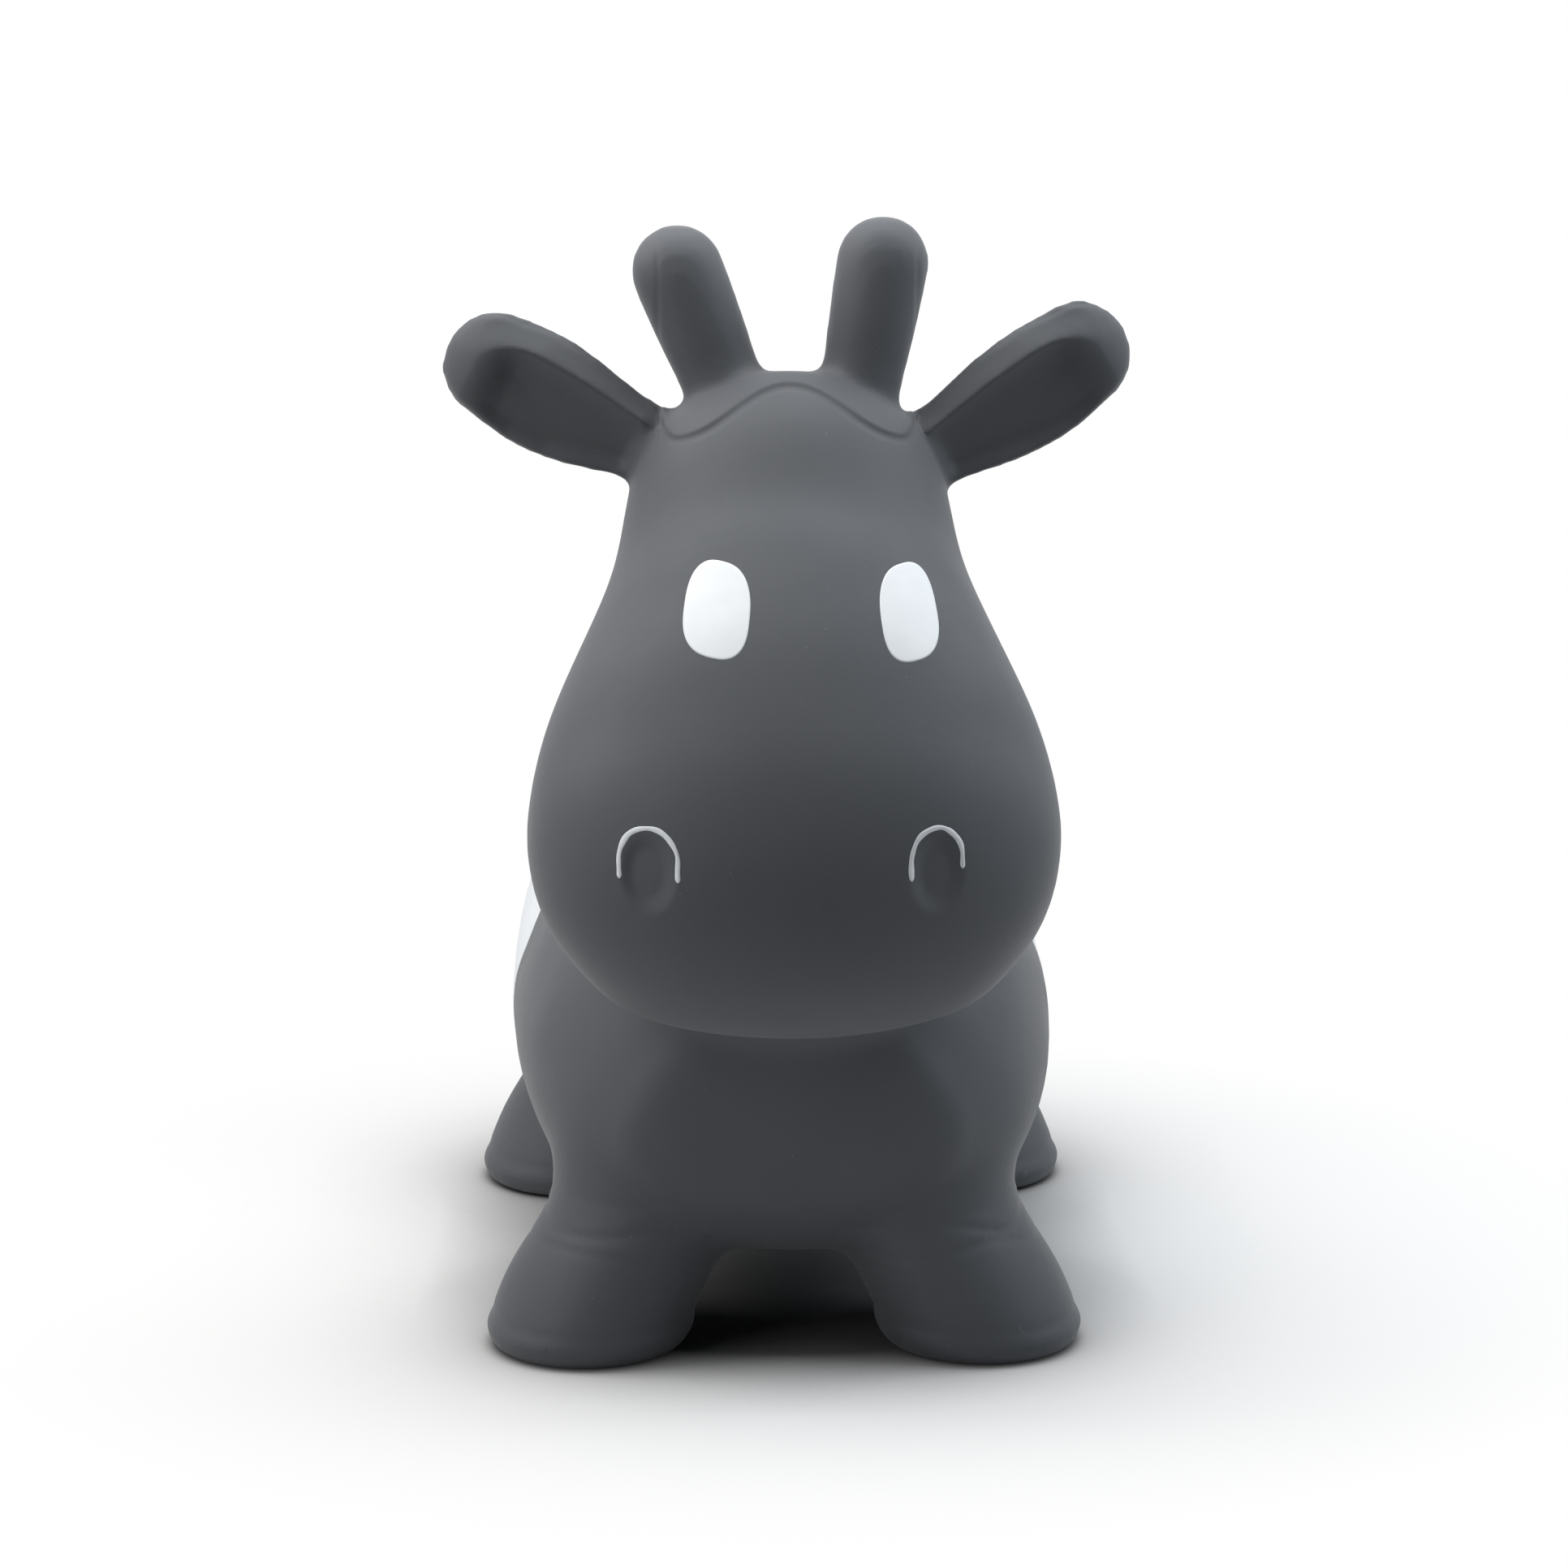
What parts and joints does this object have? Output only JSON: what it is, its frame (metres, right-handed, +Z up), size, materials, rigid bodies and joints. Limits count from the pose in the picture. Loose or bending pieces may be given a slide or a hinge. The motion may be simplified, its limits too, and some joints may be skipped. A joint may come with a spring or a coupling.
{
  "type": "inflatable bouncy ride-on cow",
  "caption": "Inflatable rubber cow to ride and bounce on, with stub legs, ears and horns to hold, a valve in the belly and white painted eyes and patches.",
  "frame": {"origin": "on the floor, under the middle of the whole cow's box", "axes": "+Z up; the cow looks along -Y, its tail is at +Y and its own left side is +X"},
  "size_m": [0.304, 0.5479, 0.4989],
  "materials": {
    "skin_rubber": "matte, soft sheen",
    "valve_rubber": "matte",
    "plug_plastic": "satin",
    "white_paint": "matte paint film"
  },
  "bodies": {
    "legs": {"leg_front_left": "skin_rubber", "leg_front_right": "skin_rubber", "leg_rear_left": "skin_rubber", "leg_rear_right": "skin_rubber"},
    "torso": {"torso": "skin_rubber", "neck": "skin_rubber", "valve_seat": "valve_rubber", "flank_patch_left": "white_paint", "flank_patch_right": "white_paint"},
    "head": {"head": "skin_rubber", "eye_left": "white_paint", "eye_right": "white_paint", "nostril_arch_left": "white_paint", "nostril_arch_right": "white_paint"},
    "ear_left": {"ear_left": "skin_rubber"},
    "ear_right": {"ear_right": "skin_rubber"},
    "horn_left": {"horn_left": "skin_rubber"},
    "horn_right": {"horn_right": "skin_rubber"},
    "plug": {"valve_plug": "plug_plastic"}
  },
  "joints": [
    {"name": "bounce", "type": "slide", "parent": "legs", "child": "torso", "axis": [0, 0, 1], "range_m": [-0.015, 0], "stiffness_N_per_m": 6000, "springref_m": 0.004, "deforming": ["leg_front_left", "leg_front_right", "leg_rear_left", "leg_rear_right"]},
    {"name": "head_nod", "type": "hinge", "parent": "torso", "child": "head", "pos_m": [0, -0.084, 0.229], "axis": [1, 0, 0], "range_deg": [-5, 5], "stiffness_Nm_per_rad": 30, "springref_deg": -0.8, "deforming": ["neck"]},
    {"name": "ear_left_flap", "type": "hinge", "parent": "head", "child": "ear_left", "pos_m": [0.06492, -0.0979, 0.39752], "axis": [-0.5277, 0, 0.8494], "range_deg": [-20, 20], "stiffness_Nm_per_rad": 0.6},
    {"name": "ear_right_flap", "type": "hinge", "parent": "head", "child": "ear_right", "pos_m": [-0.06496, -0.09789, 0.40146], "axis": [-0.4581, 0, -0.8889], "range_deg": [-20, 20], "stiffness_Nm_per_rad": 0.6},
    {"name": "horn_left_bend", "type": "hinge", "parent": "head", "child": "horn_left", "pos_m": [0.03427, -0.09689, 0.43578], "axis": [-0.984, 0, 0.1782], "range_deg": [-15, 15], "stiffness_Nm_per_rad": 0.6},
    {"name": "horn_right_bend", "type": "hinge", "parent": "head", "child": "horn_right", "pos_m": [-0.0319, -0.09688, 0.43522], "axis": [-0.9278, 0, -0.373], "range_deg": [-15, 15], "stiffness_Nm_per_rad": 0.6},
    {"name": "plug_pull", "type": "slide", "parent": "torso", "child": "plug", "axis": [0, 0, -1], "range_m": [0, 0.018]}
  ]
}
